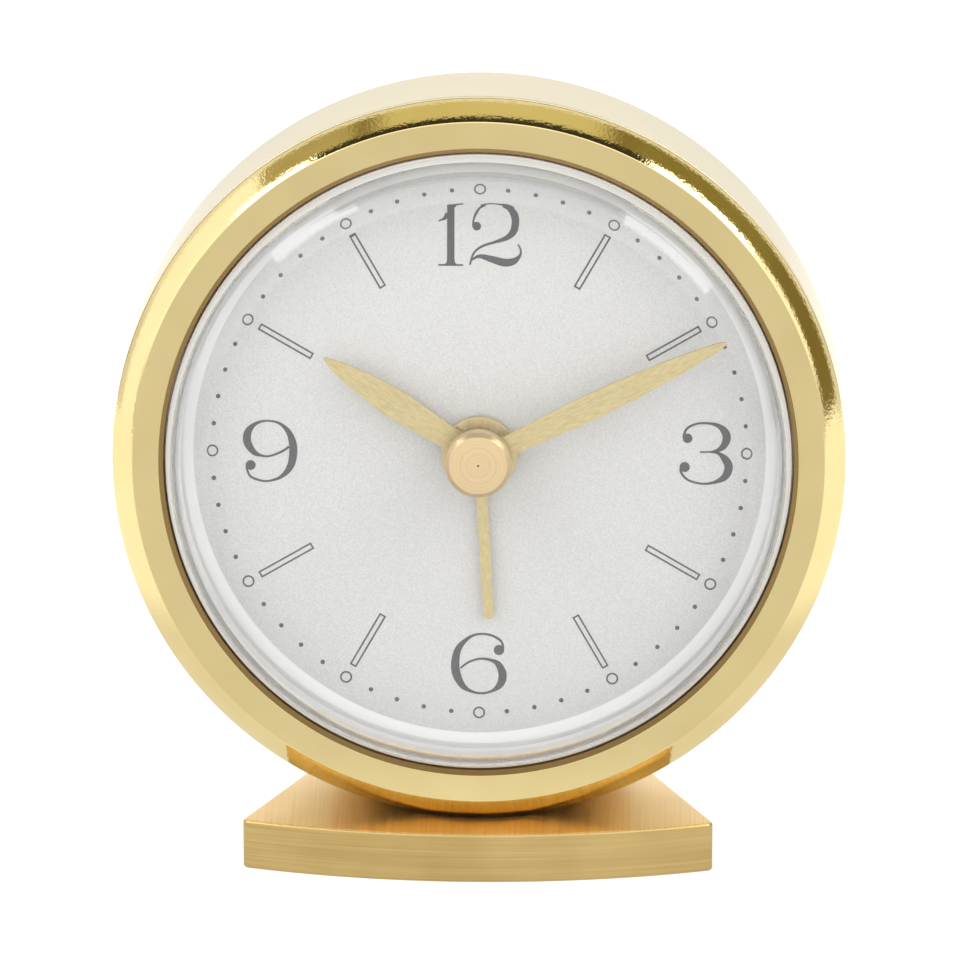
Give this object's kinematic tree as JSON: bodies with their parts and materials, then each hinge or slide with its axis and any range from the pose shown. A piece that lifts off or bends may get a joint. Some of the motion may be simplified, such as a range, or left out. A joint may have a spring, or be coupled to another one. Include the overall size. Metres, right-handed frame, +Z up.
{
  "type": "miniature alarm clock",
  "caption": "Small gold drum alarm clock leaning back on a flat foot, with a raised crystal, leaf hands, an alarm hand and setting knobs behind.",
  "frame": {"origin": "middle of the foot's flat underside", "axes": "+Z up from the foot, dial facing -Y and leaning back, +X to the right of the dial"},
  "size_m": [0.06, 0.0259, 0.0639],
  "materials": {
    "satin_gold": "satin",
    "polished_gold": "polished",
    "brushed_gold": "brushed",
    "hand_gold": "satin",
    "clear": "clear, polished",
    "silver_dial": "fine satin",
    "black_plastic": "fine texture",
    "white_plastic": "smooth",
    "brass": "machined",
    "steel": "plated",
    "copper": "enamelled wire",
    "board": "solder mask"
  },
  "bodies": {
    "case": {"base": "brushed_gold", "base_screw_left": "steel", "base_screw_right": "steel", "drum_case": "satin_gold", "bezel": "polished_gold", "crystal": "clear", "dial": "silver_dial", "movement_plate": "black_plastic", "movement_back_plate": "black_plastic", "plate_screw_1": "steel", "plate_screw_2": "steel", "plate_screw_3": "steel", "rear_cover": "black_plastic", "stator": "steel", "coil": "copper", "button_cell": "steel", "contact_positive": "brass", "contact_negative": "brass", "circuit_board": "board", "quartz_can": "steel", "chip": "black_plastic", "buzzer": "black_plastic"},
    "minute": {"minute_arbor": "brass", "minute_hand": "hand_gold", "centre_cap": "hand_gold"},
    "hour": {"hour_wheel": "white_plastic", "hour_hand": "hand_gold"},
    "alarm": {"alarm_wheel": "white_plastic", "alarm_hand": "hand_gold"},
    "minute_wheel": {"minute_wheel": "white_plastic"},
    "time_setter": {"time_knob": "black_plastic", "time_stem": "white_plastic"},
    "alarm_setter": {"alarm_knob": "black_plastic", "alarm_stem": "white_plastic"},
    "centre_wheel": {"centre_wheel": "brass"},
    "third_wheel": {"third_wheel": "white_plastic"},
    "seconds_wheel": {"seconds_wheel": "white_plastic"},
    "intermediate_wheel": {"intermediate_wheel": "white_plastic"},
    "rotor": {"rotor": "steel"},
    "battery_door": {"battery_door": "black_plastic"},
    "alarm_switch": {"alarm_switch": "white_plastic"}
  },
  "joints": [
    {"name": "minute_turn", "type": "hinge", "parent": "case", "child": "minute", "pos_m": [0, 0.00881, 0.03295], "axis": [0, 0.9962, -0.0872], "continuous": true},
    {"name": "hour_turn", "type": "hinge", "parent": "case", "child": "hour", "pos_m": [0, 0.00881, 0.03295], "axis": [0, 0.9962, -0.0872], "continuous": true},
    {"name": "minute_wheel_turn", "type": "hinge", "parent": "case", "child": "minute_wheel", "pos_m": [-0.0096, 0.00881, 0.03295], "axis": [0, 0.9962, -0.0872], "continuous": true},
    {"name": "time_knob_turn", "type": "hinge", "parent": "case", "child": "time_setter", "pos_m": [-0.01577, 0.00945, 0.04027], "axis": [0, 0.9962, -0.0872], "continuous": true},
    {"name": "alarm_turn", "type": "hinge", "parent": "case", "child": "alarm", "pos_m": [0, 0.00881, 0.03295], "axis": [0, 0.9962, -0.0872], "continuous": true},
    {"name": "alarm_knob_turn", "type": "hinge", "parent": "case", "child": "alarm_setter", "pos_m": [0.00977, 0.00912, 0.03649], "axis": [0, 0.9962, -0.0872], "continuous": true},
    {"name": "seconds_wheel_turn", "type": "hinge", "parent": "case", "child": "seconds_wheel", "pos_m": [-0.00364, 0.01012, 0.04791], "axis": [0, 0.9962, -0.0872], "continuous": true},
    {"name": "intermediate_wheel_turn", "type": "hinge", "parent": "case", "child": "intermediate_wheel", "pos_m": [0.00109, 0.01035, 0.05062], "axis": [0, 0.9962, -0.0872], "continuous": true},
    {"name": "rotor_turn", "type": "hinge", "parent": "case", "child": "rotor", "pos_m": [0.00533, 0.01014, 0.04818], "axis": [0, 0.9962, -0.0872], "continuous": true},
    {"name": "third_wheel_turn", "type": "hinge", "parent": "case", "child": "third_wheel", "pos_m": [0, 0.00957, 0.04162], "axis": [0, 0.9962, -0.0872], "continuous": true},
    {"name": "centre_wheel_turn", "type": "hinge", "parent": "case", "child": "centre_wheel", "pos_m": [0, 0.00881, 0.03295], "axis": [0, 0.9962, -0.0872], "continuous": true},
    {"name": "battery_door_turn", "type": "hinge", "parent": "case", "child": "battery_door", "pos_m": [0.0081, 0.00758, 0.01897], "axis": [0, 0.9962, -0.0872], "range_deg": [0, 60]},
    {"name": "alarm_switch_slide", "type": "slide", "parent": "case", "child": "alarm_switch", "axis": [0, 0.0872, 0.9962], "range_m": [0, 0.0034]}
  ],
  "couplings": [
    {"joint": "minute_wheel_turn", "follows": "minute_turn", "ratio": -0.33333},
    {"joint": "hour_turn", "follows": "minute_turn", "ratio": 0.083333},
    {"joint": "time_knob_turn", "follows": "minute_turn", "ratio": 1},
    {"joint": "alarm_knob_turn", "follows": "alarm_turn", "ratio": -3},
    {"joint": "intermediate_wheel_turn", "follows": "seconds_wheel_turn", "ratio": -5},
    {"joint": "rotor_turn", "follows": "seconds_wheel_turn", "ratio": 30},
    {"joint": "third_wheel_turn", "follows": "seconds_wheel_turn", "ratio": -0.14286},
    {"joint": "centre_wheel_turn", "follows": "seconds_wheel_turn", "ratio": 0.016667}
  ]
}
